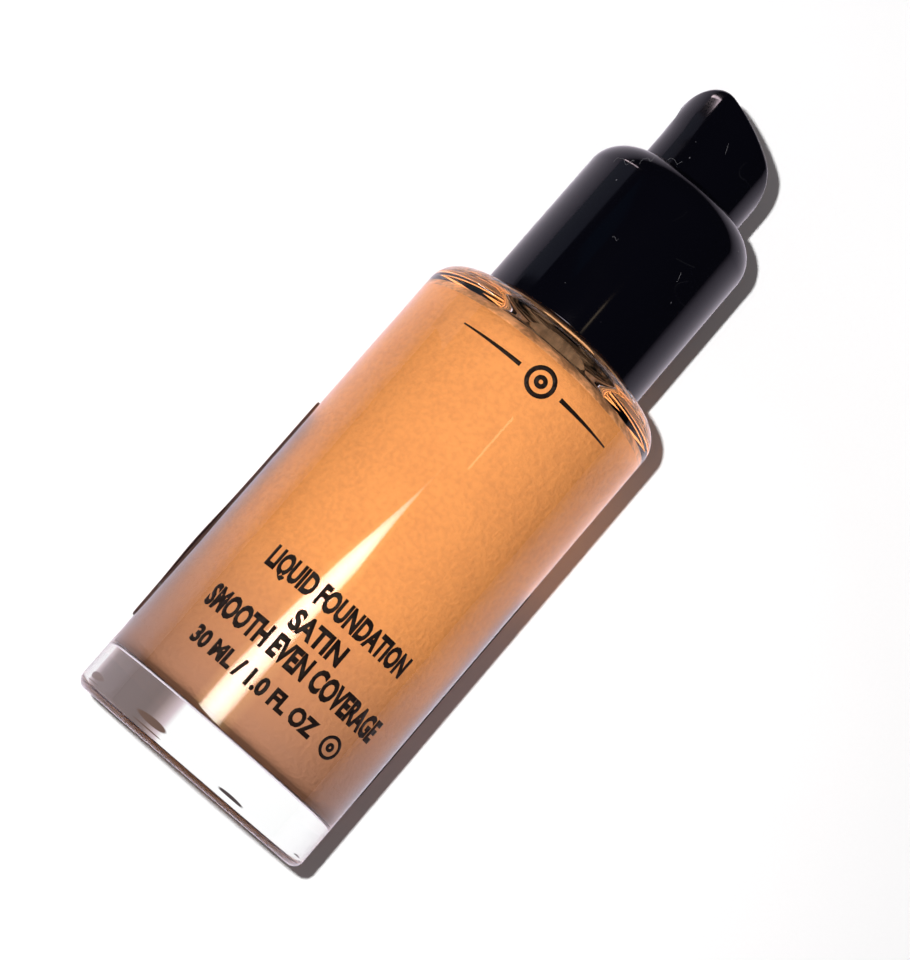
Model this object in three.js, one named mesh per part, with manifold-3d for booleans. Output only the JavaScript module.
// A 30 ml glass foundation bottle with a treatment pump: thick-based clear bottle, tall domed collar and
// a slant-topped head. Millimetres, +Z up, origin at the centre of the base; the print faces -Y and the
// nozzle points to -X. Pieces that rest on or grip each other keep a small gap.
import * as THREE from "three";
import { mergeVertices } from "three/addons/utils/BufferGeometryUtils.js";
import Module from "manifold-3d";

const wasm = await Module();
wasm.setup();

// ---- driving dimensions -------------------------------------------------------------------------
const bottleRadius = 16.5;
const shoulderHeight = 65.5;
const glassWall = 2.8;
const baseThickness = 7.0;
const neckRadius = 7.85; // the glass under the thread
const boreRadius = 5.3; // the opening through the neck
const neckHeight = 11.8; // above the shoulder
const threadPitch = 3.175; // eight threads to the inch, as on an 18-415 finish
const threadTurns = 1.1;
const collarRadius = 11.42;
const collarTop = 89.85;
const headRadius = 7.13;
const headHeight = 99.9; // the slanted top, measured on the axis
const headSlope = 0.4; // drop of the slanted top for each millimetre towards +X
const pressStroke = 4.5;
const restGap = 0.1; // between faces that rest on each other
const sideGap = 0.3; // between a piece and what slides or screws round it

// ---- heights that follow from them --------------------------------------------------------------
const neckTop = shoulderHeight + neckHeight;
const cavityRadius = bottleRadius - glassWall;
const gasketBottom = neckTop + restGap;
const gasketThickness = 1.0;
const flangeBottom = gasketBottom + gasketThickness + restGap;
const flangeThickness = 1.0;
const webBottom = flangeBottom + flangeThickness + restGap; // the closure's top web, on the flange
const webThickness = 1.2;
const webTop = webBottom + webThickness;
const housingTop = webTop + 1.9;
const retainingTop = housingTop + 3.5; // the retaining ring's stem guide
const pistonRadius = 3.8;
const stemRadius = 1.9;
const skirtBottom = webTop + pressStroke + sideGap; // the head's lower edge, clear of the web when pressed
const tubeBottom = 9.0;
const tubeRadius = 1.8;
const retainerThickness = 0.6;

// ---- materials ----------------------------------------------------------------------------------
const finish = (color, roughness, metalness = 0, opacity = 1) =>
  new THREE.MeshStandardMaterial({ color, roughness, metalness, opacity, transparent: opacity < 1 });
const clearGlass = finish(0xf4f6f5, 0.03, 0, 0.3);
const foundation = finish(0xdc9157, 0.45);
const blackGloss = finish(0x0b0b10, 0.14);
const labelFilm = finish(0x2a201e, 0.4);
const naturalPlastic = finish(0xe6e6e0, 0.35);
const softSeal = finish(0xd9d9d4, 0.6);
const steel = finish(0xb9bcc0, 0.25, 1);

// ---- shape helpers ------------------------------------------------------------------------------
// Points of an elliptical arc in the profile plane, from angle a0 to a1 in degrees.
function arc(cx, cz, rx, rz, a0, a1, steps) {
  return Array.from({ length: steps + 1 }, (_, i) => {
    const a = THREE.MathUtils.degToRad(a0 + ((a1 - a0) * i) / steps);
    return [cx + rx * Math.cos(a), cz + rz * Math.sin(a)];
  });
}

// A profile of [radius, height] pairs turned round the Z axis. A ring's profile closes on itself.
function turned(profile, segments, ring = false) {
  const points = profile.map(([r, z]) => new THREE.Vector2(Math.max(r, 0), z));
  if (ring) points.push(points[0].clone());
  return new THREE.LatheGeometry(points, segments).rotateX(Math.PI / 2);
}

// A tube between two radii and two heights.
function tube(inner, outer, bottom, top, segments) {
  const profile = [[inner, bottom], [outer, bottom], [outer, top], [inner, top]];
  return turned(profile, segments, true);
}

// A solid rod.
function rod(radius, bottom, top, segments) {
  return turned([[0, bottom], [radius, bottom], [radius, top], [0, top]], segments);
}

// An outline of [x, z] pairs extruded along Y, centred on the XZ plane.
function slab(outline, depth) {
  const shape = new THREE.Shape(outline.map(([x, z]) => new THREE.Vector2(x, z)));
  const geometry = new THREE.ExtrudeGeometry(shape, { depth, bevelEnabled: false });
  return geometry.rotateX(Math.PI / 2).translate(0, depth / 2, 0);
}

class Helix extends THREE.Curve {
  constructor(radius, bottom, pitch, turns) {
    super();
    Object.assign(this, { radius, bottom, pitch, turns });
  }
  getPoint(t, target = new THREE.Vector3()) {
    const angle = 2 * Math.PI * this.turns * t;
    const x = this.radius * Math.cos(angle);
    const y = this.radius * Math.sin(angle);
    return target.set(x, y, this.bottom + this.pitch * this.turns * t);
  }
}

// A round bead along a curve.
function bead(curve, radius, sides, steps) {
  const section = new THREE.Shape();
  for (let i = 0; i < sides; i += 1) {
    const a = (2 * Math.PI * i) / sides;
    if (i === 0) section.moveTo(radius, 0);
    else section.lineTo(radius * Math.cos(a), radius * Math.sin(a));
  }
  section.closePath();
  return new THREE.ExtrudeGeometry(section, { steps, bevelEnabled: false, extrudePath: curve });
}

// A geometry as a manifold-3d solid with its faces pointing out.
function solid(geometry) {
  const bare = geometry.clone();
  bare.deleteAttribute("normal");
  bare.deleteAttribute("uv");
  const merged = mergeVertices(bare, 1e-4);
  const vertProperties = new Float32Array(merged.attributes.position.array);
  const triVerts = new Uint32Array(merged.index.array);
  const make = () => new wasm.Manifold(new wasm.Mesh({ numProp: 3, vertProperties, triVerts }));
  const first = make();
  if (first.volume() > 0) return first;
  for (let i = 0; i < triVerts.length; i += 3) {
    [triVerts[i + 1], triVerts[i + 2]] = [triVerts[i + 2], triVerts[i + 1]];
  }
  return make();
}

// A solid back as a geometry.
function geometryOf(made) {
  const mesh = made.getMesh();
  const position = new THREE.BufferAttribute(new Float32Array(mesh.vertProperties), 3);
  const geometry = new THREE.BufferGeometry().setAttribute("position", position);
  geometry.setIndex(new THREE.BufferAttribute(new Uint32Array(mesh.triVerts), 1));
  geometry.computeVertexNormals();
  return geometry;
}

const part = new THREE.Group();

function addPiece(name, shape, material, parent) {
  const made = shape instanceof THREE.BufferGeometry ? solid(shape) : shape;
  const mesh = new THREE.Mesh(geometryOf(made), material);
  mesh.name = name;
  parent.add(mesh);
}

// ---- bottle -------------------------------------------------------------------------------------
const bottle = new THREE.Group();
part.add(bottle);

const beadRadius = 0.8;
const neckThreadBottom = shoulderHeight + 5.6;
const labelFrom = 4.6; // the label's two ends, in degrees round the bottle from +X
const labelTo = 184;
const labelBottom = 10.0;
const labelTop = 42.6;
const filmThickness = 0.15;
const filmGap = 0.06; // between the film and the glass
const leafLift = 0.35; // how far the leaf's free end stands off
const liftedAngle = 0.25; // radians of the leaf that curl away

function glassBottle() {
  const footRadius = 1.3;
  const footInner = 12.8; // the flat ring that it stands on runs from here to the rounded foot
  const pushUp = 0.8;
  const pushUpEdge = [8.5, 0.64];
  const shoulderOut = 3.6;
  const shoulderUp = 3.3;
  const neckFillet = 1.2;
  const lipChamfer = 0.5;
  const mouthChamfer = 0.3;
  const outside = [
    [0, pushUp],
    pushUpEdge,
    [footInner, 0],
    ...arc(bottleRadius - footRadius, footRadius, footRadius, footRadius, -90, 0, 3),
    ...arc(bottleRadius - shoulderOut, shoulderHeight - shoulderUp, shoulderOut, shoulderUp, 0, 90, 6),
    [neckRadius + neckFillet, shoulderHeight + 0.15],
    [neckRadius, shoulderHeight + neckFillet],
    [neckRadius, neckTop - lipChamfer],
    [neckRadius - lipChamfer, neckTop],
  ];
  const innerTop = shoulderHeight - glassWall;
  const innerOut = 3.2; // the inner shoulder's width and height
  const innerUp = 3.0;
  const innerCorner = 1.8;
  const inside = [
    [boreRadius + mouthChamfer, neckTop],
    [boreRadius, neckTop - mouthChamfer - 0.1],
    [boreRadius, innerTop + 1.8],
    [boreRadius + 1.0, innerTop + 0.4],
    ...arc(cavityRadius - innerOut, innerTop - innerUp, innerOut, innerUp, 90, 0, 5),
    ...arc(cavityRadius - innerCorner, baseThickness + innerCorner, innerCorner, innerCorner, 0, -90, 4),
    [0, baseThickness],
  ];
  const wall = solid(turned([...outside, ...inside], 36));
  const threadRadius = neckRadius + 0.2; // to the middle of the bead, which is half sunk in the neck
  const thread = new Helix(threadRadius, neckThreadBottom, threadPitch, threadTurns);
  return wall.add(solid(bead(thread, beadRadius, 8, 26)));
}

// The foundation, with the room that the pump's housing and dip tube take out of it.
function foundationFluid() {
  const gap = sideGap;
  const top = shoulderHeight - glassWall - 2 * gap;
  const radius = cavityRadius - gap;
  const corner = 1.7;
  const shoulderOut = 2.9;
  const shoulderUp = 2.7;
  const profile = [
    [0, baseThickness + gap],
    ...arc(radius - corner, baseThickness + gap + corner, corner, corner, -90, 0, 2),
    ...arc(radius - shoulderOut, top - shoulderUp, shoulderOut, shoulderUp, 0, 75, 3),
    [radius - 4.2, top],
    [housingRadius + gap, top],
    [housingRadius + gap, chamberTop - 2.4],
    [socketRadius + 2 * gap, chamberTop - 3.6],
    [socketRadius + 2 * gap, socketBottom - gap],
    [tubeRadius + gap, socketBottom - gap],
    [tubeRadius + gap, tubeBottom - gap],
    [0, tubeBottom - gap],
  ];
  return turned(profile, 32);
}

// A film that wraps the back of the bottle. Its free end, on the -X side, stands off by lift.
function wrappedFilm(inner, thickness, lift) {
  const outline = (radius, from, to) => {
    const steps = 36;
    return Array.from({ length: steps + 1 }, (_, i) => {
      const a = THREE.MathUtils.degToRad(from + ((to - from) * i) / steps);
      const nearEnd = Math.max(0, 1 - (THREE.MathUtils.degToRad(labelTo) - a) / liftedAngle);
      const r = radius + lift * nearEnd * nearEnd;
      return new THREE.Vector2(r * Math.cos(a), r * Math.sin(a));
    });
  };
  const outside = outline(inner + thickness, labelFrom, labelTo);
  const section = new THREE.Shape([...outside, ...outline(inner, labelTo, labelFrom)]);
  const options = { depth: labelTop - labelBottom, bevelEnabled: false };
  return new THREE.ExtrudeGeometry(section, options).translate(0, 0, labelBottom);
}

// The layer glued to the glass.
function rearLabel() {
  return wrappedFilm(bottleRadius + filmGap, filmThickness, 0);
}

// The peel-back leaf over it, whose free end curls away a little.
function labelLeaf() {
  return wrappedFilm(bottleRadius + filmGap + filmThickness + restGap, filmThickness, leafLift);
}

// ---- pump: the housing and what it holds --------------------------------------------------------
const pump = new THREE.Group();
part.add(pump);

const housingRadius = 4.85;
const cylinderRadius = 3.9; // the bore that the piston runs in
const chamberTop = 58.0; // the ledge under the spring
const socketRadius = 2.9;
const socketBottom = 45.5;
const socketTop = 50.5; // where the dip tube stops
const ballRadius = 1.5;
const ballSeat = 53.6; // lower edge of the cone that the ball lies on
const ballCentre = ballSeat + 1.35;
const snugGap = 0.15; // round a piece that is pushed on or into another
const slipGap = 0.05; // round a piece that seals on what it touches

function neckGasket() {
  return tube(housingRadius + snugGap, neckRadius - 0.2, gasketBottom, gasketBottom + gasketThickness, 32);
}

function pumpHousing() {
  const flangeRadius = neckRadius - 0.5;
  const ballRoom = ballRadius + 0.5;
  const inlet = 0.9;
  const profile = [
    [tubeRadius + restGap, socketBottom],
    [socketRadius, socketBottom],
    [socketRadius + 0.3, chamberTop - 3.4],
    [housingRadius, chamberTop - 1.6],
    [housingRadius, flangeBottom],
    [flangeRadius, flangeBottom],
    [flangeRadius, flangeBottom + flangeThickness],
    [housingRadius, flangeBottom + flangeThickness],
    [housingRadius, housingTop],
    [cylinderRadius, housingTop],
    [cylinderRadius, chamberTop],
    [ballRoom, chamberTop],
    [ballRoom, ballSeat + 0.9],
    [inlet, ballSeat],
    [inlet, socketTop + 0.5],
    [tubeRadius + restGap, socketTop + 0.5],
  ];
  return turned(profile, 32, true);
}

function dipTube() {
  const wall = 0.6;
  const reach = 3; // half the width of the wedge that cuts the end on a slant
  const wedge = [[-reach, tubeBottom - 1], [reach, tubeBottom - 1], [reach, tubeBottom + reach]];
  const slant = slab(wedge, 2 * reach);
  const straight = tube(tubeRadius - wall, tubeRadius, tubeBottom, socketTop, 20);
  return solid(straight).subtract(solid(slant));
}

// The ball lies on its conical seat and lifts as the pump draws.
function inletBall() {
  return new THREE.SphereGeometry(ballRadius, 14, 9).rotateX(Math.PI / 2).translate(0, 0, ballCentre);
}

// The washer on the ledge, under the spring: its hole is smaller than the ball.
function ballRetainer() {
  const bottom = chamberTop + restGap;
  const hole = ballRadius - 0.4;
  return tube(hole, cylinderRadius - snugGap, bottom, bottom + retainerThickness, 24);
}

// The ring snapped over the housing's rim, which holds the closure on and guides the stem.
function retainingRing() {
  const inner = housingRadius + snugGap;
  const wall = 0.9;
  const outer = inner + wall;
  const top = housingTop + 0.5;
  const guide = stemRadius + snugGap;
  const profile = [
    [inner, webTop + restGap],
    [outer, webTop + restGap],
    [outer, top + 1.0],
    [guide + 1.3, top + 1.2],
    [guide + wall, retainingTop],
    [guide, retainingTop],
    [guide, top],
    [inner, top],
  ];
  return turned(profile, 32, true);
}

function stemSeal() {
  const bottom = housingTop + slipGap;
  const thickness = 0.4;
  return tube(stemRadius + slipGap, housingRadius - slipGap, bottom, bottom + thickness, 24);
}

// ---- closure: the screw cap and the black collar over it ----------------------------------------
const closure = new THREE.Group();
pump.add(closure);

const closureRadius = 10.15;
const closureBore = neckRadius + 1.4;

function screwClosure() {
  const bottom = shoulderHeight + 1.2;
  const hole = housingRadius + 0.2;
  const chamfer = 0.4;
  const profile = [
    [closureBore, bottom],
    [closureRadius, bottom],
    [closureRadius, webTop - chamfer],
    [closureRadius - chamfer, webTop],
    [hole, webTop],
    [hole, webBottom],
    [closureBore, webBottom],
  ];
  const shell = solid(turned(profile, 36, true));
  // Half a pitch under the neck's bead, so the two threads lie in each other's grooves.
  const thread = new Helix(closureBore - 0.15, neckThreadBottom - threadPitch / 2, threadPitch, threadTurns);
  return shell.add(solid(bead(thread, beadRadius - 0.1, 8, 26)));
}

function collarShell() {
  const bottom = shoulderHeight + 0.65;
  const wall = 0.95;
  const dome = 4.0;
  const domeZ = collarTop - dome;
  const mouth = headRadius + sideGap; // radius of the opening round the head
  const lipDepth = 2.4; // how far the mouth's rim turns down
  const chamfer = 0.25;
  const innerDome = dome - wall;
  const profile = [
    [collarRadius - wall, bottom],
    [collarRadius - chamfer, bottom],
    [collarRadius, bottom + chamfer],
    ...arc(collarRadius - dome, domeZ, dome, dome, 0, 90, 8),
    [mouth, collarTop - 0.15],
    [mouth, collarTop - lipDepth],
    [mouth + 0.8, collarTop - lipDepth],
    ...arc(collarRadius - wall - innerDome, domeZ, innerDome, innerDome, 68, 0, 3),
  ];
  return turned(profile, 36, true);
}

// ---- plunger: what goes down with the head ------------------------------------------------------
const plunger = new THREE.Group();
pump.add(plunger);

const pistonBottom = housingTop - 5.6;
const plugBottom = pistonBottom - 2.0;
const springBottom = chamberTop + retainerThickness + 2 * restGap;
const springTop = plugBottom - restGap;

// The hollow rod from the piston to the head.
function stem() {
  const bore = 1.0;
  return tube(bore, stemRadius, pistonBottom - 0.6, headHeight - 5.2, 20);
}

function piston() {
  const bottom = pistonBottom;
  const top = housingTop - 1.2;
  const inner = stemRadius + slipGap;
  const waist = pistonRadius - 0.35; // between the two lips
  const lip = 0.5;
  const web = pistonRadius - 0.9;
  const profile = [
    [inner, bottom + 0.6],
    [web, bottom + 0.6],
    [pistonRadius - lip, bottom],
    [pistonRadius, bottom + 0.1],
    [waist, bottom + 1.6],
    [waist, top - 1.2],
    [pistonRadius, top],
    [pistonRadius - lip, top],
    [web, top - 1.0],
    [inner, top - 0.6],
  ];
  return turned(profile, 20, true);
}

// The plug in the stem's lower end, which the spring pushes up.
function stemPlug() {
  const bottom = plugBottom;
  const springSeat = 3.4;
  const spigot = 0.8; // pushed into the stem's bore
  const top = bottom + 3.4;
  const profile = [
    [0, bottom - 1.6],
    [1.3, bottom - 1.3],
    [1.9, bottom],
    [springSeat, bottom],
    [springSeat, bottom + 0.7],
    [1.5, bottom + 1.2],
    [spigot, bottom + 1.3],
    [spigot, top],
    [0, top],
  ];
  return turned(profile, 20);
}

function returnSpring() {
  const wire = 0.3; // radius of the wire
  const coilRadius = 3.1;
  const turns = 7.5;
  const low = springBottom + wire;
  const high = springTop - wire;
  const coil = new Helix(coilRadius, low, (high - low) / turns, turns);
  return bead(coil, wire, 6, 80);
}

// ---- head: the actuator on the stem -------------------------------------------------------------
const head = new THREE.Group();
plunger.add(head);

const nozzleHeight = 96.6;
const nozzleRadius = 1.5;
const clearHeight = headHeight + 5; // above everything that the head has
const lipStandOut = 0.25; // how far the beak stands out past the head's round wall

// The side view of the head: a tall rounded lip over the nozzle, then the slant down to the short side.
function headOutline(inset, bottom) {
  const left = -(headRadius + lipStandOut) + inset;
  const right = headRadius - inset;
  const top = (x) => headHeight - inset * 1.05 - headSlope * x;
  const lip = 2.5 - inset * 0.6;
  const edge = 4.4 - inset;
  const fall = THREE.MathUtils.radToDeg(Math.atan(headSlope));
  const slantCosine = Math.cos(Math.atan(headSlope));
  const lipZ = top(left + lip) - lip / slantCosine;
  const edgeZ = top(right - edge) - edge / slantCosine;
  return [
    [left, bottom],
    [right, bottom],
    ...arc(right - edge, edgeZ, edge, edge, 0, 90 - fall, 5),
    ...arc(left + lip, lipZ, lip, lip, 90 - fall, 180, 8),
  ];
}

function headShell() {
  const wall = 0.95;
  const beakSize = [2.0, 3.8, 4.2];
  const beakPlace = [beakSize[0] - headRadius - lipStandOut, 0, headHeight - 0.5];
  const column = solid(rod(headRadius, skirtBottom, clearHeight, 48));
  const beak = solid(new THREE.SphereGeometry(1, 20, 12).scale(...beakSize).translate(...beakPlace));
  const outside = column.add(beak).intersect(solid(slab(headOutline(0, skirtBottom - 1), 20)));
  const core = solid(rod(headRadius - wall, skirtBottom - 2, clearHeight, 40));
  const inside = core.intersect(solid(slab(headOutline(wall + restGap, skirtBottom - 2), 20)));
  const boreShape = rod(nozzleRadius + slipGap, 0, 5, 16);
  const bore = solid(boreShape.rotateY(-Math.PI / 2).translate(-4, 0, nozzleHeight));
  return outside.subtract(inside).subtract(bore);
}

// The inner piece: a socket for the stem and the channel that turns to the nozzle.
function headCore() {
  const pressedClear = retainingTop + pressStroke; // the retaining ring's top, seen from a pressed head
  const discBottom = pressedClear + 1.6;
  const discThickness = 0.9;
  const socketRoof = nozzleHeight + 0.15;
  const channelRadius = nozzleRadius - 0.2;
  const riserRadius = 0.8;
  const outletRadius = 0.7;
  const socket = solid(rod(stemRadius + 1.1, pressedClear + 0.4, socketRoof, 24));
  const arm = solid(rod(channelRadius, -1.4, 5.3, 16).rotateY(-Math.PI / 2).translate(0, 0, nozzleHeight));
  const stemHole = solid(rod(stemRadius + slipGap, retainingTop, headHeight - 5.0, 24));
  const riser = solid(rod(riserRadius, retainingTop, nozzleHeight, 12));
  const outlet = solid(rod(outletRadius, -0.8, 6, 12).rotateY(-Math.PI / 2).translate(0, 0, nozzleHeight));
  const disc = solid(rod(headRadius - 1.25, discBottom, discBottom + discThickness, 32));
  return socket.add(disc).add(arm).subtract(stemHole).subtract(riser).subtract(outlet);
}

// The small bush that the foundation comes out of.
function nozzleInsert() {
  const hole = 0.55;
  const length = 1.75;
  const ring = tube(hole, nozzleRadius, 0, length, 16);
  return ring.rotateY(-Math.PI / 2).translate(-5.4, 0, nozzleHeight);
}

addPiece("glass_bottle", glassBottle(), clearGlass, bottle);
addPiece("foundation_fluid", foundationFluid(), foundation, bottle);
addPiece("rear_label", rearLabel(), labelFilm, bottle);
addPiece("label_leaf", labelLeaf(), labelFilm, bottle);
addPiece("neck_gasket", neckGasket(), softSeal, pump);
addPiece("pump_housing", pumpHousing(), naturalPlastic, pump);
addPiece("dip_tube", dipTube(), naturalPlastic, pump);
addPiece("inlet_ball", inletBall(), steel, pump);
addPiece("ball_retainer", ballRetainer(), naturalPlastic, pump);
addPiece("retaining_ring", retainingRing(), naturalPlastic, pump);
addPiece("stem_seal", stemSeal(), softSeal, pump);
addPiece("return_spring", returnSpring(), steel, pump);
addPiece("screw_closure", screwClosure(), blackGloss, closure);
addPiece("collar_shell", collarShell(), blackGloss, closure);
addPiece("stem", stem(), naturalPlastic, plunger);
addPiece("piston", piston(), softSeal, plunger);
addPiece("stem_plug", stemPlug(), naturalPlastic, plunger);
addPiece("head_shell", headShell(), blackGloss, head);
addPiece("head_core", headCore(), naturalPlastic, head);
addPiece("nozzle_insert", nozzleInsert(), blackGloss, head);

export default part;
